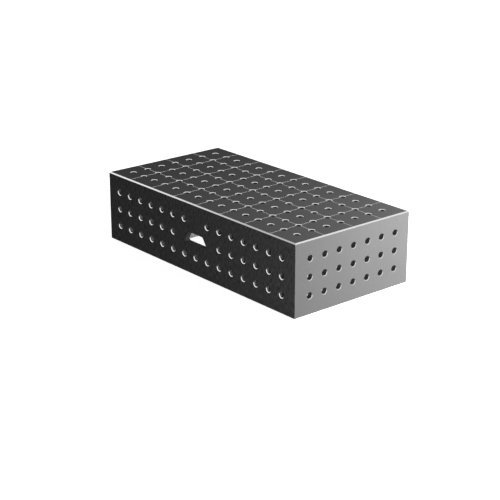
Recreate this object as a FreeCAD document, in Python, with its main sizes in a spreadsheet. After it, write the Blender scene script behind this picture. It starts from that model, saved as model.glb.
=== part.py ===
"""Welding fixture block: a five-sided steel box, open below, with a grid of clamping holes.

The top plate and the four walls are drilled on one grid and welded together from inside. Cross
ribs and long ribs stand under the top plate, halved over each other and stitch-welded, midway
between the rows of holes. The front wall has a tapered see-through opening.

Frame: origin at the middle of the footprint, X along the length, Z up. The wall with the opening
faces -Y.
"""

import FreeCAD, Part
import Sketcher
import math
import os

doc = FreeCAD.newDocument("welding_fixture_block")

# Driving dimensions, in millimetres
DIMENSIONS = {
    "overall_length": 800,
    "overall_width": 400,
    "overall_height": 200,
    "top_plate_thickness": 15,
    "side_wall_thickness": 15,
    "end_wall_thickness": 15,
    "top_edge_chamfer": 3,
    "corner_edge_break": 0.5,
    "hole_pitch": 50,
    "hole_bore": 16,
    "hole_chamfer": 1.5,
    "hole_edge_distance": 40,
    "scribe_pitch": 100,
    "scribe_width": 1,
    "scribe_depth": 0.5,
    "opening_sill": 86.5,
    "opening_clear_height": 30,
    "opening_base_width": 100,
    "opening_head_width": 60,
    "opening_corner_radius": 6,
    "opening_web": 12,
    "plain_field_width": 60,
    "rib_thickness": 10,
    "rib_depth": 106,
    "rib_corner_cut": 15,
    "rib_slot_clearance": 0.25,
    "rib_spacing": 200,
    "seam_weld_leg": 6,
    "rib_weld_leg": 5,
    "stitch_length": 50,
    "weld_end_gap": 6,
}

sizes = doc.addObject("Spreadsheet::Sheet", "sizes")
for row, (alias, size) in enumerate(DIMENSIONS.items(), start=1):
    sizes.set(f"A{row}", alias.replace("_", " "))
    sizes.set(f"B{row}", str(size))
    sizes.setAlias(f"B{row}", alias)
doc.recompute()

X_AXIS = FreeCAD.Vector(1, 0, 0)
Y_AXIS = FreeCAD.Vector(0, 1, 0)
Z_AXIS = FreeCAD.Vector(0, 0, 1)

# Two lengths nearer than this are equal, and two directions within this angle are parallel
SAME_LENGTH = 1e-6
PARALLEL_ANGLE = math.radians(2)

COUNTERSINK_ANGLE = 90

# Lengths that several pieces share, as expressions on the sheet
INNER_HALF_LENGTH = "(sizes.overall_length / 2 - sizes.end_wall_thickness)"
INNER_HALF_WIDTH = "(sizes.overall_width / 2 - sizes.side_wall_thickness)"
WALL_HEIGHT = "(sizes.overall_height - sizes.top_plate_thickness)"
RIB_FOOT = f"({WALL_HEIGHT} - sizes.rib_depth)"
HALF_RIB = "(sizes.rib_thickness / 2)"


def value(expression):
    """The number that an expression on the sheet gives."""
    return float(sizes.evalExpression(expression))


def grid_count(span, pitch="sizes.hole_pitch", margin="sizes.hole_edge_distance"):
    """How many points of a centred grid fit in a span, with a margin at each end."""
    return math.floor((value(span) - 2 * value(margin)) / value(pitch)) + 1


def grid_start(count, pitch="sizes.hole_pitch"):
    """The expression for the first coordinate of a centred grid."""
    return f"-{(count - 1) / 2} * {pitch}"


# Holes along each side of the block
COLUMNS = grid_count("sizes.overall_length")
ROWS_ACROSS = grid_count("sizes.overall_width")
ROWS_UP = grid_count("sizes.overall_height")


def attach_sketch(body, name, role="XY_Plane"):
    """A new sketch on one of the body's own origin planes."""
    sketch = body.newObject("Sketcher::SketchObject", name)
    plane = next(feature for feature in body.Origin.OriginFeatures if feature.Role == role)
    sketch.AttachmentSupport = (plane, [""])
    sketch.MapMode = "FlatFace"
    return sketch


def bind(sketch, constraint, name, expression):
    """Add a named constraint and bind its value to the sheet."""
    index = sketch.addConstraint(constraint)
    sketch.renameConstraint(index, name)
    sketch.setExpression(f"Constraints.{name}", expression)


def draw_polygon(sketch, corners):
    """A closed outline whose corners are pairs of expressions, each held from the origin."""
    points = [FreeCAD.Vector(value(x), value(y), 0) for x, y in corners]
    first = sketch.GeometryCount
    for start, end in zip(points, points[1:] + points[:1]):
        sketch.addGeometry(Part.LineSegment(start, end))
    for k, (x, y) in enumerate(corners):
        line = first + k
        after = first + (k + 1) % len(corners)
        sketch.addConstraint(Sketcher.Constraint("Coincident", line, 2, after, 1))
        bind(sketch, Sketcher.Constraint("DistanceX", -1, 1, line, 1, points[k].x), f"x{line}", x)
        bind(sketch, Sketcher.Constraint("DistanceY", -1, 1, line, 1, points[k].y), f"y{line}", y)


def draw_rectangle(sketch, left, right, bottom, top):
    draw_polygon(sketch, [(left, bottom), (right, bottom), (right, top), (left, top)])


def runs_along(edge, axis):
    """Whether an edge is parallel to an axis, in either direction."""
    angle = edge.tangentAt(edge.FirstParameter).getAngle(axis)
    return min(angle, math.pi - angle) < PARALLEL_ANGLE


def edges_where(feature, test, along=None):
    """The names of a feature's edges whose two ends pass the test, or of those along one axis."""
    names = []
    for number, edge in enumerate(feature.Shape.Edges, start=1):
        wanted = along is None or runs_along(edge, along)
        if wanted and all(test(vertex.Point) for vertex in edge.Vertexes):
            names.append(f"Edge{number}")
    return names


def chamfer(body, base, name, edges, size):
    cut = body.newObject("PartDesign::Chamfer", name)
    cut.Base = (base, edges)
    cut.setExpression("Size", size)
    doc.recompute()
    return cut


def plate_body(label, left, right, bottom, top, thickness):
    """A plate whose outer face is z = 0 in its own frame, with its metal below."""
    body = doc.addObject("PartDesign::Body", label)
    body.Label = label
    outline = attach_sketch(body, f"{label}_outline")
    draw_rectangle(outline, left, right, bottom, top)
    blank = body.newObject("PartDesign::Pad", f"{label}_blank")
    blank.Profile = outline
    blank.Reversed = True
    blank.setExpression("Length", thickness)
    doc.recompute()
    return body, blank


def drill(body, name, first_x, first_y, along_x, along_y):
    """A grid of through holes, chamfered at the plate's outer face."""
    centre = attach_sketch(body, f"{name}_centre")
    spot = FreeCAD.Vector(value(first_x), value(first_y), 0)
    radius = "sizes.hole_bore / 2"
    centre.addGeometry(Part.Circle(spot, Z_AXIS, value(radius)))
    bind(centre, Sketcher.Constraint("DistanceX", -1, 1, 0, 3, spot.x), "x_centre", first_x)
    bind(centre, Sketcher.Constraint("DistanceY", -1, 1, 0, 3, spot.y), "y_centre", first_y)
    bind(centre, Sketcher.Constraint("Radius", 0, value(radius)), "bore_radius", radius)
    hole = body.newObject("PartDesign::Hole", name)
    hole.Profile = centre
    doc.recompute()
    hole.DepthType = "ThroughAll"
    hole.setExpression("Diameter", "sizes.hole_bore")
    hole.HoleCutType = "Countersink"
    hole.HoleCutCustomValues = True
    hole.HoleCutCountersinkAngle = COUNTERSINK_ANGLE
    hole.setExpression("HoleCutDiameter", "sizes.hole_bore + 2 * sizes.hole_chamfer")
    grid = body.newObject("PartDesign::LinearPattern", f"{name}_grid")
    grid.Originals = [hole]
    grid.Direction = (centre, ["H_Axis"])
    grid.Mode = "Extent"
    grid.setExpression("Length", f"{along_x - 1} * sizes.hole_pitch")
    grid.Occurrences = along_x
    if along_y > 1:
        grid.Direction2 = (centre, ["V_Axis"])
        grid.Mode2 = "Extent"
        grid.setExpression("Length2", f"{along_y - 1} * sizes.hole_pitch")
        grid.Occurrences2 = along_y
    body.Tip = grid
    doc.recompute()


def scribe(body, name, role, half_run, count):
    """Evenly spaced V-grooves in the outer face, each running across the whole plate."""
    outline = attach_sketch(body, f"{name}_section", role)
    middle = grid_start(count, "sizes.scribe_pitch")
    corners = [
        (f"{middle} - sizes.scribe_width / 2", "0"),
        (f"{middle}", "-sizes.scribe_depth"),
        (f"{middle} + sizes.scribe_width / 2", "0"),
    ]
    draw_polygon(outline, corners)
    groove = body.newObject("PartDesign::Pocket", name)
    groove.Profile = outline
    groove.Midplane = True
    groove.setExpression("Length", f"2 * {half_run}")
    row = body.newObject("PartDesign::LinearPattern", f"{name}_row")
    row.Originals = [groove]
    row.Direction = (outline, ["H_Axis"])
    row.Mode = "Spacing"
    row.setExpression("Offset", "sizes.scribe_pitch")
    row.Occurrences = count
    body.Tip = row
    doc.recompute()


def make_top_plate():
    """The plate that covers the whole block, with scribed lines and its edges chamfered."""
    half_length = "sizes.overall_length / 2"
    half_width = "sizes.overall_width / 2"
    body, blank = plate_body(
        "top_plate",
        f"-{half_length}",
        half_length,
        f"-{half_width}",
        half_width,
        "sizes.top_plate_thickness",
    )
    rim = edges_where(blank, lambda point: abs(point.z) < SAME_LENGTH)
    chamfer(body, blank, "top_edges", rim, "sizes.top_edge_chamfer")
    lines_across = grid_count("sizes.overall_length", "sizes.scribe_pitch", "sizes.scribe_pitch")
    lines_along = grid_count("sizes.overall_width", "sizes.scribe_pitch", "sizes.scribe_pitch")
    scribe(body, "scribe_across", "XZ_Plane", half_width, lines_across)
    scribe(body, "scribe_along", "YZ_Plane", half_length, lines_along)
    drill(body, "top_holes", grid_start(COLUMNS), grid_start(ROWS_ACROSS), COLUMNS, ROWS_ACROSS)
    body.setExpression("Placement.Base.z", "sizes.overall_height")
    return body


def upright_plate(label, half_span, thickness, turn):
    """A wall modelled lying down, then stood up with its outer face turned away from the block."""
    body, blank = plate_body(label, f"-{half_span}", half_span, "0", WALL_HEIGHT, thickness)
    stand = FreeCAD.Rotation(X_AXIS, 90)
    body.Placement = FreeCAD.Placement(FreeCAD.Vector(), FreeCAD.Rotation(Z_AXIS, turn) * stand)
    return body, blank


def row_height(row):
    """The height of a row of wall holes, counted from below."""
    return f"sizes.overall_height / 2 + {row - (ROWS_UP - 1) / 2} * sizes.hole_pitch"


def make_side_wall(label, side, turn):
    """A long wall, with its two corner edges broken. Its own holes are drilled afterwards."""
    body, blank = upright_plate(
        label, "sizes.overall_length / 2", "sizes.side_wall_thickness", turn
    )
    corners = edges_where(blank, lambda point: abs(point.z) < SAME_LENGTH, Y_AXIS)
    chamfer(body, blank, f"{label}_corner_edges", corners, "sizes.corner_edge_break")
    body.setExpression("Placement.Base.y", f"{side} * sizes.overall_width / 2")
    return body


def columns_kept(half_gap):
    """How many hole columns each side of the middle keeps, clear of a gap about the middle."""
    start = value(grid_start(COLUMNS))
    kept = [k for k in range(COLUMNS) if start + k * value("sizes.hole_pitch") < -value(half_gap)]
    return len(kept)


def cut_opening(body):
    """The tapered opening through the front wall, with its corners rounded."""
    outline = attach_sketch(body, "opening_outline")
    head = "sizes.opening_sill + sizes.opening_clear_height"
    corners = [
        ("-sizes.opening_base_width / 2", "sizes.opening_sill"),
        ("sizes.opening_base_width / 2", "sizes.opening_sill"),
        ("sizes.opening_head_width / 2", head),
        ("-sizes.opening_head_width / 2", head),
    ]
    draw_polygon(outline, corners)
    opening = body.newObject("PartDesign::Pocket", "opening")
    opening.Profile = outline
    opening.Type = "ThroughAll"
    doc.recompute()
    margin = value("sizes.opening_corner_radius")
    reach = value("sizes.opening_base_width / 2") + margin
    low = value("sizes.opening_sill") - margin
    high = value(head) + margin
    inside = edges_where(
        opening, lambda point: abs(point.x) < reach and low < point.y < high, Z_AXIS
    )
    rounds = body.newObject("PartDesign::Fillet", "opening_corners")
    rounds.Base = (opening, inside)
    rounds.setExpression("Radius", "sizes.opening_corner_radius")
    doc.recompute()


def make_front_wall():
    """The wall with the opening. Holes stop clear of the opening and of the plain field above it."""
    body = make_side_wall("front_wall", -1, 0)
    cut_opening(body)
    start = grid_start(COLUMNS)
    head = "sizes.opening_sill + sizes.opening_clear_height"
    reach = "(sizes.hole_bore / 2 + sizes.hole_chamfer + sizes.opening_web)"
    for row in range(ROWS_UP):
        height = row_height(row)
        below_head = value(f"{height} - {reach} - ({head})") < 0
        above_sill = value(f"{height} + {reach} - sizes.opening_sill") > 0
        if below_head and above_sill:
            kept = columns_kept(f"sizes.opening_base_width / 2 + {reach}")
        elif above_sill:
            kept = columns_kept("sizes.plain_field_width / 2")
        else:
            drill(body, f"front_holes_{row + 1}", start, height, COLUMNS, 1)
            continue
        right = f"{(COLUMNS - 1) / 2 - kept + 1} * sizes.hole_pitch"
        drill(body, f"front_holes_{row + 1}_left", start, height, kept, 1)
        drill(body, f"front_holes_{row + 1}_right", right, height, kept, 1)
    return body


def make_rear_wall():
    body = make_side_wall("rear_wall", 1, 180)
    drill(body, "rear_holes", grid_start(COLUMNS), row_height(0), COLUMNS, ROWS_UP)
    return body


def make_end_wall(label, side):
    """A short wall that fits between the two long ones."""
    body, _ = upright_plate(label, INNER_HALF_WIDTH, "sizes.end_wall_thickness", 90 * side)
    drill(body, f"{label}_holes", grid_start(ROWS_ACROSS), row_height(0), ROWS_ACROSS, ROWS_UP)
    body.setExpression("Placement.Base.x", f"{side} * sizes.overall_length / 2")
    return body


def midway(count, nearest):
    """The line midway between two rows of a centred grid, next beyond a distance, in pitches."""
    shift = 0.5 if count % 2 else 0.0
    return math.floor(nearest - shift) + 1 + shift


def rib_lines(count, nearest, furthest):
    """Rib positions on one side of the middle, as numbers of hole pitches."""
    pitch = value("sizes.hole_pitch")
    step = max(1, round(value("sizes.rib_spacing") / pitch))
    line = midway(count, value(nearest) / pitch)
    lines = []
    while line * pitch < value(furthest):
        lines.append(line)
        line += step
    return lines


def both_sides(lines):
    """Expressions for positions mirrored about the middle, in order."""
    ordered = [-line for line in reversed(lines)] + lines
    return [f"{line} * sizes.hole_pitch" for line in ordered]


RIB_MARGIN = "sizes.rib_weld_leg + sizes.rib_thickness"
CROSS_RIBS = both_sides(
    rib_lines(
        COLUMNS,
        f"sizes.opening_base_width / 2 + {RIB_MARGIN}",
        f"{INNER_HALF_LENGTH} - sizes.rib_corner_cut - {RIB_MARGIN}",
    )
)
LONG_RIBS = both_sides(
    rib_lines(
        ROWS_ACROSS,
        "sizes.hole_pitch",
        f"{INNER_HALF_WIDTH} - sizes.rib_corner_cut - {RIB_MARGIN}",
    )
)


def make_rib(label, half_run, crossings, slot_bottom, slot_top):
    """A rib drawn flat, its foot on y = 0, clipped for the seam welds and slotted for crossings."""
    body = doc.addObject("PartDesign::Body", label)
    body.Label = label
    outline = attach_sketch(body, f"{label}_outline")
    draw_rectangle(outline, f"-{half_run}", half_run, "0", "sizes.rib_depth")
    web = body.newObject("PartDesign::Pad", f"{label}_web")
    web.Profile = outline
    web.Midplane = True
    web.setExpression("Length", "sizes.rib_thickness")
    doc.recompute()
    depth = value("sizes.rib_depth")
    corners = edges_where(web, lambda point: abs(point.y - depth) < SAME_LENGTH, Z_AXIS)
    clipped = chamfer(body, web, f"{label}_corner_cuts", corners, "sizes.rib_corner_cut")
    slots = attach_sketch(body, f"{label}_slot_outline")
    half_slot = f"({HALF_RIB} + sizes.rib_slot_clearance)"
    for at in crossings:
        draw_rectangle(slots, f"{at} - {half_slot}", f"{at} + {half_slot}", slot_bottom, slot_top)
    cut = body.newObject("PartDesign::Pocket", f"{label}_slots")
    cut.Profile = slots
    cut.Midplane = True
    cut.Type = "ThroughAll"
    body.Tip = cut
    doc.recompute()
    if cut.Shape.Volume >= clipped.Shape.Volume:
        raise RuntimeError(f"the slots of {label} cut nothing")
    body.setExpression("Placement.Base.z", RIB_FOOT)
    return body


def make_cross_rib(number, at):
    """A rib across the block, slotted from its foot."""
    body = make_rib(
        f"cross_rib_{number}", INNER_HALF_WIDTH, LONG_RIBS, "0", "sizes.rib_depth / 2"
    )
    body.Placement.Rotation = FreeCAD.Rotation(FreeCAD.Vector(1, 1, 1), 120)
    body.setExpression("Placement.Base.x", at)
    return body


def make_long_rib(label, at):
    """A rib along the block, slotted from its top."""
    body = make_rib(
        label, INNER_HALF_LENGTH, CROSS_RIBS, "sizes.rib_depth / 2", "sizes.rib_depth"
    )
    body.Placement.Rotation = FreeCAD.Rotation(X_AXIS, 90)
    body.setExpression("Placement.Base.y", at)
    return body


def make_bead(name, corner, away, beside, leg, run):
    """A fillet weld: a right-angled prism whose legs lie along away and beside from a corner."""
    bead = doc.addObject("Part::Wedge", name)
    for side in ("Xmax", "Ymax"):
        bead.setExpression(side, leg)
    for side in ("Xmin", "X2min", "X2max", "Ymin"):
        setattr(bead, side, 0)
    for side in ("Zmin", "Z2min"):
        bead.setExpression(side, f"-({run}) / 2")
    for side in ("Zmax", "Z2max"):
        bead.setExpression(side, f"({run}) / 2")
    turn = FreeCAD.Rotation(away, beside, away.cross(beside), "XYZ")
    bead.Placement = FreeCAD.Placement(FreeCAD.Vector(), turn)
    for axis, expression in zip("xyz", corner):
        bead.setExpression(f"Placement.Base.{axis}", expression)
    return bead


def group(label, beads):
    """Like beads, each a separate solid, as one sub-part."""
    node = doc.addObject("Part::Compound", label)
    node.Label = label
    node.Links = beads
    return node


def make_top_seam_weld():
    """The bead round the inside, where the four walls meet the top plate, mitred at its corners."""
    leg = "sizes.seam_weld_leg"
    inner_length = f"2 * {INNER_HALF_LENGTH}"
    inner_width = f"2 * {INNER_HALF_WIDTH}"
    band = doc.addObject("Part::Box", "top_seam_band")
    band.setExpression("Length", inner_length)
    band.setExpression("Width", inner_width)
    band.setExpression("Height", leg)
    band.setExpression("Placement.Base.x", f"-{INNER_HALF_LENGTH}")
    band.setExpression("Placement.Base.y", f"-{INNER_HALF_WIDTH}")
    band.setExpression("Placement.Base.z", f"{WALL_HEIGHT} - {leg}")
    core = doc.addObject("Part::Wedge", "top_seam_core")
    core.Ymin = 0
    core.setExpression("Ymax", leg)
    for side, half in (("X", INNER_HALF_LENGTH), ("Z", INNER_HALF_WIDTH)):
        core.setExpression(f"{side}min", f"-{half}")
        core.setExpression(f"{side}max", half)
        core.setExpression(f"{side}2min", f"-{half} + {leg}")
        core.setExpression(f"{side}2max", f"{half} - {leg}")
    core.Placement = FreeCAD.Placement(FreeCAD.Vector(), FreeCAD.Rotation(X_AXIS, 90))
    core.setExpression("Placement.Base.z", f"{WALL_HEIGHT} - {leg}")
    ring = doc.addObject("Part::Cut", "top_seam_weld")
    ring.Label = "top_seam_weld"
    ring.Base = band
    ring.Tool = core
    return ring


def make_corner_welds():
    """The upright beads in the four inner corners, below the bead round the top."""
    run = f"{WALL_HEIGHT} - sizes.seam_weld_leg - sizes.weld_end_gap"
    middle = f"sizes.weld_end_gap + ({run}) / 2"
    beads = []
    for x_side in (-1, 1):
        for y_side in (-1, 1):
            corner = (f"{x_side} * {INNER_HALF_LENGTH}", f"{y_side} * {INNER_HALF_WIDTH}", middle)
            name = f"corner_bead_{len(beads) + 1}"
            beads.append(
                make_bead(name, corner, -x_side * X_AXIS, -y_side * Y_AXIS, "sizes.seam_weld_leg", run)
            )
    return group("corner_welds", beads)


def bay_middles(lines, inner_half):
    """Expressions for the middle of each bay between the ribs and the walls at both ends."""
    stops = [f"-{inner_half}"] + lines + [inner_half]
    return [f"({low} + {high}) / 2" for low, high in zip(stops, stops[1:])]


def make_stitch_welds():
    """Short beads on both sides of every rib, under the top plate in the middle of each bay."""
    leg = "sizes.rib_weld_leg"
    beads = []
    for at in CROSS_RIBS:
        for middle in bay_middles(LONG_RIBS, INNER_HALF_WIDTH):
            for side in (-1, 1):
                corner = (f"{at} + {side} * {HALF_RIB}", middle, WALL_HEIGHT)
                name = f"stitch_{len(beads) + 1}"
                beads.append(
                    make_bead(name, corner, side * X_AXIS, -1 * Z_AXIS, leg, "sizes.stitch_length")
                )
    for at in LONG_RIBS:
        for middle in bay_middles(CROSS_RIBS, INNER_HALF_LENGTH):
            for side in (-1, 1):
                corner = (middle, f"{at} + {side} * {HALF_RIB}", WALL_HEIGHT)
                name = f"stitch_{len(beads) + 1}"
                beads.append(
                    make_bead(name, corner, side * Y_AXIS, -1 * Z_AXIS, leg, "sizes.stitch_length")
                )
    return group("rib_stitch_welds", beads)


def make_rib_end_welds():
    """Upright beads on both sides of every rib end, from near its foot to near its corner cut."""
    leg = "sizes.rib_weld_leg"
    run = "sizes.rib_depth - sizes.rib_corner_cut - 2 * sizes.weld_end_gap"
    middle = f"{RIB_FOOT} + sizes.weld_end_gap + ({run}) / 2"
    beads = []
    for at in CROSS_RIBS:
        for end in (-1, 1):
            for side in (-1, 1):
                corner = (f"{at} + {side} * {HALF_RIB}", f"{end} * {INNER_HALF_WIDTH}", middle)
                name = f"rib_end_bead_{len(beads) + 1}"
                beads.append(make_bead(name, corner, side * X_AXIS, -end * Y_AXIS, leg, run))
    for at in LONG_RIBS:
        for end in (-1, 1):
            for side in (-1, 1):
                corner = (f"{end} * {INNER_HALF_LENGTH}", f"{at} + {side} * {HALF_RIB}", middle)
                name = f"rib_end_bead_{len(beads) + 1}"
                beads.append(make_bead(name, corner, -end * X_AXIS, side * Y_AXIS, leg, run))
    return group("rib_end_welds", beads)


subparts = [
    make_top_plate(),
    make_front_wall(),
    make_rear_wall(),
    make_end_wall("left_end_wall", -1),
    make_end_wall("right_end_wall", 1),
]
subparts += [make_cross_rib(number, at) for number, at in enumerate(CROSS_RIBS, start=1)]
subparts += [make_long_rib(f"long_rib_{k}", at) for k, at in enumerate(LONG_RIBS, start=1)]
subparts += [
    make_top_seam_weld(),
    make_corner_welds(),
    make_stitch_welds(),
    make_rib_end_welds(),
]
doc.recompute()

# A failed feature doesn't raise by itself
for item in doc.Objects:
    if "Invalid" in item.State or "Error" in item.State:
        raise RuntimeError(f"{item.Label} failed: {item.State}")
for item in subparts:
    if item.Shape.isNull() or not item.Shape.isValid():
        raise RuntimeError(f"{item.Label} has no valid shape")

os.makedirs("parts", exist_ok=True)
for item in subparts:
    item.Shape.exportStep(f"parts/{item.Label}.step")
    print(item.Label, len(item.Shape.Solids), round(item.Shape.Volume), item.Shape.BoundBox)
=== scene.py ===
"""The looks of the welding fixture block: dark ground plates, bright broken edges, rippled welds."""

import math

import bmesh
import bpy
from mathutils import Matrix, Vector, noise


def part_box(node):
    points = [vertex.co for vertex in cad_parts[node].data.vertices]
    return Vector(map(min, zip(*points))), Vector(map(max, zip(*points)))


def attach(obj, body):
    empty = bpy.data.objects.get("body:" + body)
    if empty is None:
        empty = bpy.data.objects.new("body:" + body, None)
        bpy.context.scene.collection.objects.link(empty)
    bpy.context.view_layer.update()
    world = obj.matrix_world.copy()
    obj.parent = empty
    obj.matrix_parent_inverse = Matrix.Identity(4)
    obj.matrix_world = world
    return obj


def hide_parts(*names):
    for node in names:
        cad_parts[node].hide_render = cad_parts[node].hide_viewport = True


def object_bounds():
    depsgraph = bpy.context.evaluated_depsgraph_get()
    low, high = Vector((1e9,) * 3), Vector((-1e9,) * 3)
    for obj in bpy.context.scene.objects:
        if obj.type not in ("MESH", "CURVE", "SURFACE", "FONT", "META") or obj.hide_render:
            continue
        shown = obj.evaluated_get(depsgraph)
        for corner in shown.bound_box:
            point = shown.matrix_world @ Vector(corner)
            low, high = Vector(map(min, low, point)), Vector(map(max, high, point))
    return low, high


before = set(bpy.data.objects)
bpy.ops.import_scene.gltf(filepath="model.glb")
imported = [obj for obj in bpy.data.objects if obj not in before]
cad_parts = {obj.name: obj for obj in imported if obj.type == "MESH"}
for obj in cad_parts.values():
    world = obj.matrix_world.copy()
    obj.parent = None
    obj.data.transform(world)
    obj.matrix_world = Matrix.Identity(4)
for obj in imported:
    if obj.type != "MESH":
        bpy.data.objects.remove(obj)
cad_low, cad_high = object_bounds()
scene = bpy.context.scene

MM = 0.001

# Where the photograph was taken from: round from the front, above the horizon and how far off, in
# metres, and the point that it looks at
VIEW_AZIMUTH = math.radians(49.97)
VIEW_ELEVATION = math.radians(20)
VIEW_DISTANCE = 3.823
VIEW_CENTRE = Vector((0.0137, -0.0207, 0.0345))
LENS_MM = 99.4
SENSOR_MM = 36
FARTHEST_SEEN = 100

# Steel's greys are a touch bluer than neutral
BLUE = 1.01

# A noise's middle value, and the two that most of its values lie between
NOISE_MIDDLE = 0.5
USUAL_LOW = 0.3
USUAL_HIGH = 0.7


def make_camera():
    camera = bpy.data.objects.new("camera", bpy.data.cameras.new("camera"))
    scene.collection.objects.link(camera)
    back = Vector((
        math.sin(VIEW_AZIMUTH) * math.cos(VIEW_ELEVATION),
        -math.cos(VIEW_AZIMUTH) * math.cos(VIEW_ELEVATION),
        math.sin(VIEW_ELEVATION),
    ))
    camera.location = VIEW_CENTRE + back * VIEW_DISTANCE
    camera.rotation_euler = (-back).to_track_quat("-Z", "Y").to_euler()
    camera.data.lens = LENS_MM
    camera.data.sensor_width = SENSOR_MM
    camera.data.clip_end = FARTHEST_SEEN
    scene.camera = camera


class Nodes:
    """A short way to build one node tree, of a material or of the world."""

    def __init__(self, owner):
        self.owner = owner
        owner.use_nodes = True
        self.tree = owner.node_tree
        self.tree.nodes.clear()

    def add(self, kind, settings=None, **inputs):
        """A node with its settings, and its inputs given by name as a value or another socket."""
        node = self.tree.nodes.new(kind)
        for name, setting in (settings or {}).items():
            setattr(node, name, setting)
        for name, source in inputs.items():
            self.feed(node.inputs[name.replace("_", " ")], source)
        return node

    def feed(self, socket, source):
        if isinstance(source, bpy.types.NodeSocket):
            self.tree.links.new(source, socket)
        else:
            socket.default_value = source

    def maths(self, operation, *sources):
        node = self.tree.nodes.new("ShaderNodeMath")
        node.operation = operation
        for socket, source in zip(node.inputs, sources):
            self.feed(socket, source)
        return node.outputs[0]

    def product(self, *sources):
        total = sources[0]
        for source in sources[1:]:
            total = self.maths("MULTIPLY", total, source)
        return total

    def largest(self, *sources):
        total = sources[0]
        for source in sources[1:]:
            total = self.maths("MAXIMUM", total, source)
        return total

    def inverse(self, source):
        return self.maths("SUBTRACT", 1.0, source)

    def above(self, source, limit):
        return self.maths("GREATER_THAN", source, limit)

    def near(self, source, middle, reach):
        return self.maths("COMPARE", source, middle, reach)

    def mix(self, factor, low, high, kind="FLOAT"):
        node = self.tree.nodes.new("ShaderNodeMix")
        node.data_type = kind
        used = [socket for socket in node.inputs if socket.enabled]
        self.feed(used[0], factor)
        self.feed(used[1], low)
        self.feed(used[2], high)
        return next(socket for socket in node.outputs if socket.enabled)

    def mix_grey(self, factor, low, high):
        """A colour between two greys, each a level or a colour socket."""
        low, high = (grey(side) if isinstance(side, float) else side for side in (low, high))
        return self.mix(factor, low, high, "RGBA")

    def ramp(self, value, low, high, bottom=0.0, top=1.0):
        """The value from low to high, smoothly spread over bottom to top."""
        node = self.add("ShaderNodeMapRange", {"interpolation_type": "SMOOTHSTEP"})
        names = ("Value", "From Min", "From Max", "To Min", "To Max")
        for name, source in zip(names, (value, low, high, bottom, top)):
            self.feed(node.inputs[name], source)
        return node.outputs["Result"]

    def spread(self, noise_level, bottom, top):
        """A noise's usual range, smoothly spread over bottom to top."""
        return self.ramp(noise_level, USUAL_LOW, USUAL_HIGH, bottom, top)

    def colour(self, level, blue=None):
        """The colour of a grey level, with its own level of blue where one is given."""
        blue = blue or level
        return self.add("ShaderNodeCombineColor", Red=level, Green=level, Blue=blue).outputs["Color"]

    def place(self):
        return self.add("ShaderNodeTexCoord").outputs["Object"]

    def noise(self, sizes, detail=4.0, roughness=0.6):
        """Noise over the object, whose grains have these sizes along the three axes."""
        stretch = tuple(1 / size for size in sizes)
        mapping = self.add("ShaderNodeMapping", Vector=self.place(), Scale=stretch)
        grains = self.add(
            "ShaderNodeTexNoise",
            Vector=mapping.outputs["Vector"],
            Scale=1.0,
            Detail=detail,
            Roughness=roughness,
        )
        return grains.outputs["Fac"]

    def normal_parts(self):
        """The flat normal's X, Y and Z."""
        facing = self.add("ShaderNodeNewGeometry").outputs["True Normal"]
        return self.add("ShaderNodeSeparateXYZ", Vector=facing).outputs[:3]

    def seen(self):
        """One for what the camera sees, directly, in a reflection or through something clear."""
        path = self.add("ShaderNodeLightPath")
        rays = ("Is Camera Ray", "Is Glossy Ray", "Is Transmission Ray")
        return self.largest(*(path.outputs[ray] for ray in rays))

    def finish(self, shader):
        """Connect the shader and return the material."""
        output = self.add("ShaderNodeOutputMaterial", Surface=shader)
        output.is_active_output = True
        return self.owner


def new_material(name):
    return Nodes(bpy.data.materials.new(name))


def grey(level):
    return (level, level, level * BLUE, 1.0)


# Greys, as shares of white. Those in threes are for plates square to X, Y and Z.
PLATE_TONE = 0.18
# Bores are machined metal, their tone set apart for each plate as painted light and shade
BORE_TONES = (0.14, 0.24, 0.2)
# Chamfers are bright bare metal, their brightness set apart for each plate as painted highlight
BRIGHT_TONES = (0.88, 1.0, 0.82)
# Painted shade for chamfers that look down
CHAMFER_SHADE_TONE = 0.05
# Painted shade on the sides of the opening
OPENING_SHADE_TONE = 0.14
SCUFF_TONE = 0.5

# The space round the opening whose sides take the painted shade: half its width, and its middle and
# half height
OPENING_REACH = 60 * MM
OPENING_MIDDLE = 102 * MM
OPENING_HALF = 17 * MM

# How large a normal's part along an axis is: facing it, at 45 degrees to it give or take, or beside it
FACING = 0.95
SLANT = math.sqrt(0.5)
SLANT_REACH = 0.15
SIDE_LIMIT = 0.3

# A chamfer takes a painted shade where its normal's upward part is below the first, and is bright
# above the second
SHADED_BELOW = -0.35
LIT_ABOVE = 0.1

# How far the block's outer planes, upright corners, upper chamfer and rim reach in
SKIN = 0.3 * MM
CORNER_BREAK = 1.2 * MM
CHAMFER = 3 * MM
RIM_WIDTH = 3.5 * MM
RIM_ZONE = 8 * MM

# The outermost part of the top's hole chamfers, which takes the plate's tone as painted shade, and the
# bright part of the end walls' hole chamfers, beyond which they take the bores' tone as painted shade
LIP = 0.3 * MM
BRIGHT_DEPTH = 1.1 * MM

# The front rim's painted reflection: how bright it is at its left and right ends, as a share of the
# other chamfers
RIM_REFLECTION_LEFT = 1.12
RIM_REFLECTION_RIGHT = 0.6

# Scribed lines: half their spacing, half the width taken for them, and how bright they are each way, a
# painted highlight
HALF_PITCH = 50 * MM
SCRIBE_HALF = 0.7 * MM
GAIN_ALONG = 0.98
GAIN_ACROSS = 1.2

# Scuffs: the size of their patches, the noise that gives none and the most, how far in they reach,
# how softly they end and how much of their tone they add
SCUFF_SIZE = 7 * MM
SCUFF_NONE = 0.48
SCUFF_MOST = 0.75
SCUFF_REACH = 1.5 * MM
SCUFF_FADE = 0.4 * MM
SCUFF_SHARE = 0.22

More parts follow.
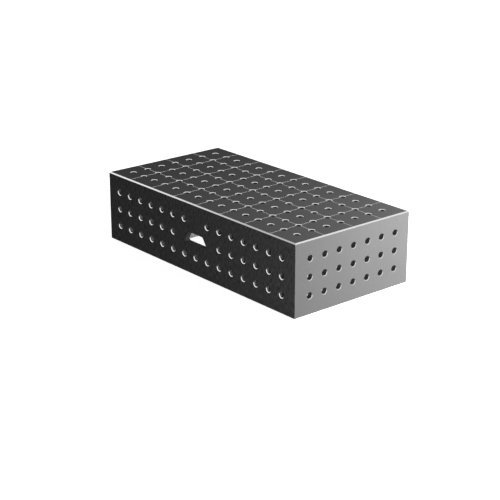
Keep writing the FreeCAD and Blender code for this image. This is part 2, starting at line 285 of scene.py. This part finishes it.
# Grain: the sizes of its marks along X, Y and Z, the larger clouds, the finer marks of turned
# chamfers, their shares, how strong it is on each face, and its relief
STREAKS = (4 * MM, 4 * MM, 14 * MM)
BRUSHING = (0.4 * MM, 0.4 * MM, 30 * MM)
LENGTHWISE = (40 * MM, 0.5 * MM, 40 * MM)
CLOUD_SIZE = 90 * MM
TURNED_SIZE = 1.2 * MM
BRUSHING_SHARE = 0.35
CLOUD_SHARE = 0.08
GRAIN_FRONT = 3.6
GRAIN_REAR = 1.6
GRAIN_OTHER = 0.3
GRAIN_DEPTH = 0.06 * MM
GRAIN_STRENGTH = 0.5

# The least and the most of the chamfers' brightness and of the plates' and chamfers' roughness
TURNED_GAIN = (0.92, 1.03)
PLATE_ROUGHNESS = (0.45, 0.6)
EDGE_ROUGHNESS = (0.38, 0.5)


def plate_grain(n, parts, y):
    """Upright streaks on the walls and finer marks along the top: the marks, and the plate's tone."""
    facing_up = n.above(n.maths("ABSOLUTE", parts[2]), FACING)
    facing_side = n.above(n.maths("ABSOLUTE", parts[1]), FACING)
    on_front = n.product(facing_side, n.above(0.0, y))
    streaks = n.noise(STREAKS, detail=3.0, roughness=0.6)
    brushing = n.noise(BRUSHING, detail=2.0, roughness=0.5)
    lengthwise = n.noise(LENGTHWISE, detail=2.0, roughness=0.5)
    cloud = n.noise([CLOUD_SIZE] * 3, detail=3.0, roughness=0.5)
    grain = n.mix(facing_up, n.mix(BRUSHING_SHARE, streaks, brushing), lengthwise)
    strength = n.mix(on_front, n.mix(facing_side, GRAIN_OTHER, GRAIN_REAR), GRAIN_FRONT)
    marks = n.product(n.maths("SUBTRACT", grain, NOISE_MIDDLE), strength)
    patches = n.product(n.maths("SUBTRACT", cloud, NOISE_MIDDLE), CLOUD_SHARE)
    tone = n.maths("ADD", n.maths("ADD", marks, patches), 1.0)
    return grain, n.product(tone, PLATE_TONE)


def add_scuffs(n, plate, out_x, out_y, z):
    """The plate's tone with light patches along the block's upright, upper and lower outer edges."""
    in_x = n.product(out_x, -1.0)
    in_y = n.product(out_y, -1.0)
    in_side = n.maths("MINIMUM", in_x, in_y)
    from_upright = n.largest(in_x, in_y)
    from_top = n.largest(in_side, n.maths("SUBTRACT", cad_high.z, z))
    from_upper = n.maths("SUBTRACT", from_top, CHAMFER)
    from_lower = n.largest(in_side, z)
    from_edge = n.maths("MINIMUM", from_upright, n.maths("MINIMUM", from_upper, from_lower))
    patches = n.noise([SCUFF_SIZE] * 3, detail=5.0, roughness=0.7)
    reach = n.ramp(patches, SCUFF_NONE, SCUFF_MOST, 0.0, SCUFF_REACH)
    past_reach = n.maths("SUBTRACT", from_edge, reach)
    return n.mix(n.ramp(past_reach, -SCUFF_FADE, 0.0, SCUFF_SHARE, 0.0), plate, SCUFF_TONE)


def plate_material(name, axis):
    """Dark ground plate, its outer face square to one axis (0, 1 or 2 for X, Y or Z).

    Chamfers and scribed grooves slope at 45 degrees to that face and are bright metal where they don't
    look down, and carry a painted shade where they do. The front rim carries a painted reflection that
    fades from left to right, and the grooves across the top are brighter than those along it as
    painted highlight. Bores and the sides of the opening are dark, the opening's sides with a painted
    shade, and the inner part of the end walls' hole chamfers takes the bores' tone as painted shade.
    The tones of bores and chamfers are set apart for each plate as painted light and shade. What lies
    in the block's outer planes is ground plate whichever way it looks, and the small breaks of the
    upright corners take the plate's tone too; the lip of the top's holes takes it as painted shade.
    """
    n = new_material(name)
    parts = n.normal_parts()
    tilt = n.maths("ABSOLUTE", parts[axis])
    slanted = n.near(tilt, SLANT, SLANT_REACH)
    beside = n.inverse(n.above(tilt, SIDE_LIMIT))
    x, y, z = n.add("ShaderNodeSeparateXYZ", Vector=n.place()).outputs[:3]
    out_x = n.maths("SUBTRACT", n.maths("ABSOLUTE", x), cad_high.x)
    out_y = n.maths("SUBTRACT", n.maths("ABSOLUTE", y), cad_high.y)
    skin = n.largest(n.above(out_x, -SKIN), n.above(out_y, -SKIN), n.above(SKIN, z))
    inner = n.product(beside, n.inverse(skin))
    turned = n.noise([TURNED_SIZE] * 3, detail=3.0, roughness=0.6)
    bright = n.product(n.spread(turned, *TURNED_GAIN), BRIGHT_TONES[axis])

    # The end walls' hole chamfers deeper than the bright part take the bores' tone, a painted shade
    if axis == 0:
        deep = n.product(slanted, n.above(-BRIGHT_DEPTH, out_x))
        slanted = n.maths("SUBTRACT", slanted, deep)
        inner = n.largest(inner, deep)
    if axis != 2:
        corner = n.product(n.above(out_x, -CORNER_BREAK), n.above(out_y, -CORNER_BREAK))
        slanted = n.product(slanted, n.inverse(corner))
    else:
        outermost = n.largest(n.above(out_x, -RIM_WIDTH), n.above(out_y, -RIM_WIDTH))
        at_rim = n.product(n.above(z, cad_high.z - RIM_ZONE), outermost)
        across = n.above(SCRIBE_HALF, n.maths("PINGPONG", x, HALF_PITCH))
        along = n.above(SCRIBE_HALF, n.maths("PINGPONG", y, HALF_PITCH))
        # The outermost lip of the top's hole chamfers takes the plate's tone, a painted shade
        at_surface = n.above(n.maths("SUBTRACT", z, cad_high.z), -LIP)
        lip = n.product(at_surface, n.inverse(n.largest(across, along, at_rim)))
        slanted = n.product(slanted, n.inverse(lip))
        # The front rim takes a painted reflection, bright at the left and fading to the right
        looks_front = n.above(-SLANT + SLANT_REACH, parts[1])
        front_rim = n.product(looks_front, n.above(out_y, -RIM_WIDTH))
        fade = n.ramp(x, cad_low.x, cad_high.x, RIM_REFLECTION_LEFT, RIM_REFLECTION_RIGHT)
        bright = n.product(bright, n.mix(front_rim, 1.0, fade))
        # Painted highlight: the grooves across the block are brighter than those along it
        gain = n.mix(across, n.mix(along, 1.0, GAIN_ALONG), GAIN_ACROSS)
        bright = n.product(bright, n.mix(at_rim, gain, 1.0))

    grain, plate = plate_grain(n, parts, y)
    plate = add_scuffs(n, plate, out_x, out_y, z)
    plate = n.colour(plate, blue=n.product(plate, BLUE))
    # Chamfers that look down take a painted shade in place of their bright metal
    edge = n.mix(n.ramp(parts[2], SHADED_BELOW, LIT_ABOVE), CHAMFER_SHADE_TONE, bright)
    colour = n.mix_grey(inner, plate, BORE_TONES[axis])
    if axis == 1:
        # The sides of the opening take a darker tone, a painted shade
        clear_of_bores = n.near(x, 0.0, OPENING_REACH)
        at_opening = n.product(inner, clear_of_bores, n.near(z, OPENING_MIDDLE, OPENING_HALF))
        colour = n.mix_grey(at_opening, colour, OPENING_SHADE_TONE)
    colour = n.mix_grey(slanted, colour, n.colour(edge))

    bump = n.add("ShaderNodeBump", Height=grain, Strength=GRAIN_STRENGTH, Distance=GRAIN_DEPTH)
    shader = n.add("ShaderNodeBsdfPrincipled", Specular_IOR_Level=0.0)
    n.feed(shader.inputs["Base Color"], colour)
    n.feed(shader.inputs["Metallic"], slanted)
    worn = n.mix(slanted, n.spread(grain, *PLATE_ROUGHNESS), n.spread(turned, *EDGE_ROUGHNESS))
    n.feed(shader.inputs["Roughness"], worn)
    n.feed(shader.inputs["Normal"], bump.outputs["Normal"])
    return n.finish(shader.outputs["BSDF"])


# Blasted rib plate: its tone with the least and the most of it, and the sizes of its mottle and grit
RIB_TONE = 0.65
RIB_SPREAD = (0.88, 1.1)
RIB_ROUGHNESS = (0.5, 0.7)
MOTTLE_SIZE = 40 * MM
GRIT_SIZE = 0.8 * MM
GRIT_SHARE = 0.3
GRIT_DEPTH = 0.1 * MM
GRIT_STRENGTH = 0.4

# Weld metal, in the same way
WELD_TONE = 0.34
WELD_SPREAD = (0.7, 1.3)
WELD_ROUGHNESS = (0.4, 0.6)
OXIDE_SIZE = 12 * MM


def rib_material():
    """Light grey blasted plate, a little mottled."""
    n = new_material("rib_steel")
    cloud = n.noise([MOTTLE_SIZE] * 3, detail=6.0, roughness=0.65)
    grit = n.noise([GRIT_SIZE] * 3, detail=2.0, roughness=0.5)
    mottle = n.spread(n.mix(GRIT_SHARE, cloud, grit), 0.0, 1.0)
    low, high = RIB_SPREAD
    shader = n.add("ShaderNodeBsdfPrincipled", Specular_IOR_Level=0.2)
    n.feed(shader.inputs["Base Color"], n.mix_grey(mottle, RIB_TONE * low, RIB_TONE * high))
    n.feed(shader.inputs["Roughness"], n.spread(cloud, *RIB_ROUGHNESS))
    bump = n.add("ShaderNodeBump", Height=grit, Strength=GRIT_STRENGTH, Distance=GRIT_DEPTH)
    n.feed(shader.inputs["Normal"], bump.outputs["Normal"])
    return n.finish(shader.outputs["BSDF"])


def weld_material():
    """Dull weld metal with a patchy oxide skin."""
    n = new_material("weld_metal")
    cloud = n.noise([OXIDE_SIZE] * 3, detail=4.0, roughness=0.6)
    low, high = WELD_SPREAD
    shader = n.add("ShaderNodeBsdfPrincipled", Metallic=0.25)
    n.feed(shader.inputs["Base Color"], n.mix_grey(cloud, WELD_TONE * low, WELD_TONE * high))
    n.feed(shader.inputs["Roughness"], n.spread(cloud, *WELD_ROUGHNESS))
    return n.finish(shader.outputs["BSDF"])


# Beads: the length of a ripple, its shape in steps and its height, and how far it spreads the toes
RIPPLE = 3 * MM
RIPPLE_SHAPE = (0.0, 0.8, 1.0, 0.6)
RIPPLE_STEPS = len(RIPPLE_SHAPE)
RIPPLE_HEIGHT = 0.55 * MM
TOE_SPREAD = 0.05

# How far a ripple bows back in the middle, the crown's height and the points across a bead
RIPPLE_BOW = 1.6 * MM
BEAD_BULGE = 0.1 * MM
BEAD_POINTS = 7

# How far the legs wander, over what length, and what sets one bead's wandering apart from the next's
BEAD_ROUGHNESS = 0.07
WANDER = 9 * MM
WANDER_STEP = 7.3
WANDER_PLANE = 0.5

# How long the rounded ends are, and the share of the legs that is left at the very end
END_REACH = 4 * MM
END_SHARE = 0.35

# Points that lie nearer than this, or agree to this many decimals, are one
SAME_POINT = 0.001 * MM
SAME_DECIMALS = 5


def separate_solids(mesh):
    """The corner points of each separate solid in a mesh whose faces may not share points."""
    points = [tuple(round(c, SAME_DECIMALS) for c in v.co) for v in mesh.vertices]
    leader = {point: point for point in points}

    def first(point):
        while leader[point] != point:
            point = leader[point]
        return point

    for face in mesh.polygons:
        corners = [first(points[k]) for k in face.vertices]
        for corner in corners[1:]:
            leader[first(corner)] = first(corners[0])
    solids = {}
    for point in leader:
        solids.setdefault(first(point), []).append(Vector(point))
    return list(solids.values())


def fillet_runs(mesh):
    """For each straight bead: the ends of its root line and the two directions of its legs."""
    runs = []
    for points in separate_solids(mesh):
        low = Vector([min(p[k] for p in points) for k in range(3)])
        high = Vector([max(p[k] for p in points) for k in range(3)])
        size = high - low
        along = max(range(3), key=lambda k: size[k])
        across = [k for k in range(3) if k != along]
        taken = {tuple(p[k] - low[k] > size[k] / 2 for k in across) for p in points}
        corners = ((False, False), (False, True), (True, False), (True, True))
        empty = next(corner for corner in corners if corner not in taken)
        start = low.copy()
        legs = []
        for k, empty_high in zip(across, empty):
            leg = Vector((0, 0, 0))
            leg[k] = size[k] if empty_high else -size[k]
            start[k] = low[k] if empty_high else high[k]
            legs.append(leg)
        end = start.copy()
        end[along] = high[along]
        runs.append((start, end, legs, False))
    return runs


def ring_runs(low, high):
    """The four mitred runs of a bead round the inside of a box's upper edge."""
    leg = high.z - low.z
    top = high.z
    corners = [Vector((low.x, low.y, top)), Vector((high.x, low.y, top)),
               Vector((high.x, high.y, top)), Vector((low.x, high.y, top))]
    inward = [Vector((0, 1, 0)), Vector((-1, 0, 0)), Vector((0, -1, 0)), Vector((1, 0, 0))]
    down = Vector((0, 0, -leg))
    return [(corners[k], corners[(k + 1) % 4], (inward[k] * leg, down), True) for k in range(4)]


def bead_section(ripple, end_share, wander, mitred):
    """Each point's shares of the two legs, its lift and how far it lags, in one section."""
    fade = 1.0 if mitred else end_share
    offsets = []
    for k in range(BEAD_POINTS):
        t = k / (BEAD_POINTS - 1)
        crown = 4 * t * (1 - t)
        lift = crown * BEAD_BULGE + math.sqrt(crown) * ripple
        reach = fade * (1 + wander)
        offsets.append(((1 - t) * reach, t * reach, lift * fade, RIPPLE_BOW * crown))
    return offsets


def lay_bead(verts, faces, smooth, run, seed):
    """Add one rippled fillet to the lists of a mesh."""
    start, end, legs, mitred = run
    way = end - start
    length = way.length
    way.normalize()
    out = (legs[0].normalized() + legs[1].normalized()).normalized()
    ripples = max(2, round(length / RIPPLE))
    count = ripples * RIPPLE_STEPS
    first = len(verts)
    width = BEAD_POINTS + 1
    for step in range(count + 1):
        s = length * step / count
        from_end = min(s, length - s)
        near_end = min(from_end / END_REACH, 1.0)
        rounded = END_SHARE + (1 - END_SHARE) * math.sqrt(1 - (1 - near_end) ** 2)
        drift = noise.noise(Vector((s / WANDER, seed * WANDER_STEP, WANDER_PLANE)))
        wander = BEAD_ROUGHNESS * near_end * drift
        swell = RIPPLE_SHAPE[step % RIPPLE_STEPS]
        if not mitred:
            wander += TOE_SPREAD * swell
        section = bead_section(RIPPLE_HEIGHT * swell, rounded, wander, mitred)
        verts.append(start + way * s)
        for a, b, lift, lag in section:
            offset = legs[0] * a + legs[1] * b + out * lift
            s_here = s - lag * near_end
            if mitred:
                inner = abs(offset.dot(legs[0].normalized()))
                s_here = inner + s_here / length * (length - 2 * inner)
            verts.append(start + way * s_here + offset)
    for step in range(count):
        low = first + step * width
        for k in range(width):
            after = (k + 1) % width
            faces.append((low + k, low + after, low + width + after, low + width + k))
            smooth.append(0 < k < width - 1)
    if not mitred:
        faces.append(tuple(first + k for k in reversed(range(width))))
        faces.append(tuple(first + count * width + k for k in range(width)))
        smooth.extend((False, False))


def make_beads(name, node, runs, material):
    """A rippled bead along each run, in one piece that stands for the node's plain fillets."""
    verts, faces, smooth = [], [], []
    for seed, run in enumerate(runs):
        lay_bead(verts, faces, smooth, run, seed)
    mesh = bpy.data.meshes.new(name)
    mesh.from_pydata(verts, [], faces)
    mesh.polygons.foreach_set("use_smooth", smooth)
    work = bmesh.new()
    work.from_mesh(mesh)
    bmesh.ops.remove_doubles(work, verts=work.verts, dist=SAME_POINT)
    bmesh.ops.recalc_face_normals(work, faces=work.faces)
    work.to_mesh(mesh)
    work.free()
    mesh.materials.append(material)
    beads = bpy.data.objects.new(name, mesh)
    scene.collection.objects.link(beads)
    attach(beads, "root")
    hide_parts(node)


def dress(node, material):
    """Give a carried-over solid its finish."""
    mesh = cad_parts[node].data
    mesh.materials.clear()
    mesh.materials.append(material)


def dress_plates():
    for node, axis in (("top_plate", 2), ("front_wall", 1), ("rear_wall", 1),
                       ("left_end_wall", 0), ("right_end_wall", 0)):
        dress(node, plate_material(f"{node}_finish", axis))


def dress_inside():
    ribs = rib_material()
    welds = weld_material()
    for node in [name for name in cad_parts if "weld" not in name and "rib_" in name]:
        dress(node, ribs)
    for node in ("top_seam_weld", "corner_welds", "rib_stitch_welds", "rib_end_welds"):
        dress(node, welds)
    make_beads("top_seam_beads", "top_seam_weld", ring_runs(*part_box("top_seam_weld")), welds)
    for name, node in (("corner_beads", "corner_welds"), ("stitch_beads", "rib_stitch_welds"),
                       ("rib_end_beads", "rib_end_welds")):
        make_beads(name, node, fillet_runs(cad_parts[node].data), welds)


# The floor: half its width, its grey to the camera, and the darker grey that throws light on the block
FLOOR_HALF = 20.0
FLOOR_TONE = 0.9
FLOOR_TONE_UNSEEN = 0.12

# Its glow near the block, lowered there as a painted shade round the block, how far out the glow
# starts to rise, and where it reaches full white
FLOOR_GLOW = 0.94
GLOW_NEAR = 0.5
GLOW_FAR = 1.1


def make_floor():
    """A plain pale floor, white to the camera and to reflections, which keeps the shadow; its glow is
    a little lower near the block, a painted shade there.
    """
    mesh = bpy.data.meshes.new("floor")
    corners = [(x, y, 0) for x, y in ((-1, -1), (1, -1), (1, 1), (-1, 1))]
    mesh.from_pydata([tuple(FLOOR_HALF * c for c in corner) for corner in corners], [], [(0, 1, 2, 3)])
    floor = bpy.data.objects.new("floor", mesh)
    scene.collection.objects.link(floor)
    n = new_material("floor_white")
    away = n.add("ShaderNodeVectorMath", {"operation": "LENGTH"}, Vector=n.place()).outputs["Value"]
    # The floor's glow is lower near the block, a painted shade round it
    strength = n.ramp(away, GLOW_NEAR, GLOW_FAR, FLOOR_GLOW, 1.0)
    camera = n.add("ShaderNodeLightPath").outputs["Is Camera Ray"]
    plain = n.add("ShaderNodeBsdfDiffuse", Color=n.mix_grey(camera, FLOOR_TONE_UNSEEN, FLOOR_TONE))
    glow = n.add("ShaderNodeEmission", Color=grey(1.0), Strength=n.product(n.seen(), strength))
    both = n.add("ShaderNodeAddShader")
    n.feed(both.inputs[0], plain.outputs[0])
    n.feed(both.inputs[1], glow.outputs[0])
    mesh.materials.append(n.finish(both.outputs[0]))


# How strongly the world lights the block
WORLD_FILL = 0.072


def make_world():
    """White to the camera and to reflections, and a dim even fill otherwise."""
    scene.world = bpy.data.worlds.new("studio")
    n = Nodes(scene.world)
    strength = n.mix(n.seen(), WORLD_FILL, 1.0)
    background = n.add("ShaderNodeBackground", Color=grey(1.0), Strength=strength)
    n.add("ShaderNodeOutputWorld", Surface=background.outputs[0])


def soft_lamp(name, place, target, size, power, height=None):
    """A soft box that faces a target, square where no height is given."""
    data = bpy.data.lights.new(name, "AREA")
    data.shape = "RECTANGLE"
    data.size = size
    data.size_y = height or size
    data.energy = power
    lamp = bpy.data.objects.new(name, data)
    lamp.visible_camera = False
    lamp.visible_glossy = False
    lamp.location = place
    lamp.rotation_euler = (Vector(target) - Vector(place)).to_track_quat("-Z", "Y").to_euler()
    scene.collection.objects.link(lamp)


# Each lamp: its name, place, target, width and power, and its height where it isn't square
LAMPS = (
    ("key_right", (1.232, 0.764, 0.496), (0.3, 0, 0.15), 0.6, 34.3),
    ("side_right", (2.369, -1.191, 0.09), (0.2, -0.2, 0.09), 0.15, 13.3),
    ("fill_rear", (-0.6, 2.0, 0.1), (-0.1, 0.2, 0.1), 0.15, 12),
    ("fill_left", (-2.0, 0.3, 0.1), (-0.4, 0.0, 0.1), 0.15, 24),
    ("fill_front", (-0.9, -1.6, 0.1), (-0.35, -0.2, 0.1), 0.15, 0.15),
    ("inside_front", (-0.165, -0.085, 0.1), (-0.165, -0.2, 0.1), 0.43, 0.29, 0.13),
    ("inside_front_right", (0.225, -0.085, 0.1), (0.225, -0.2, 0.1), 0.3, 0.08, 0.13),
)


def make_lamps():
    for lamp in LAMPS:
        soft_lamp(*lamp)


make_camera()
dress_plates()
dress_inside()
make_floor()
make_world()
make_lamps()
scene.view_settings.view_transform = "Standard"
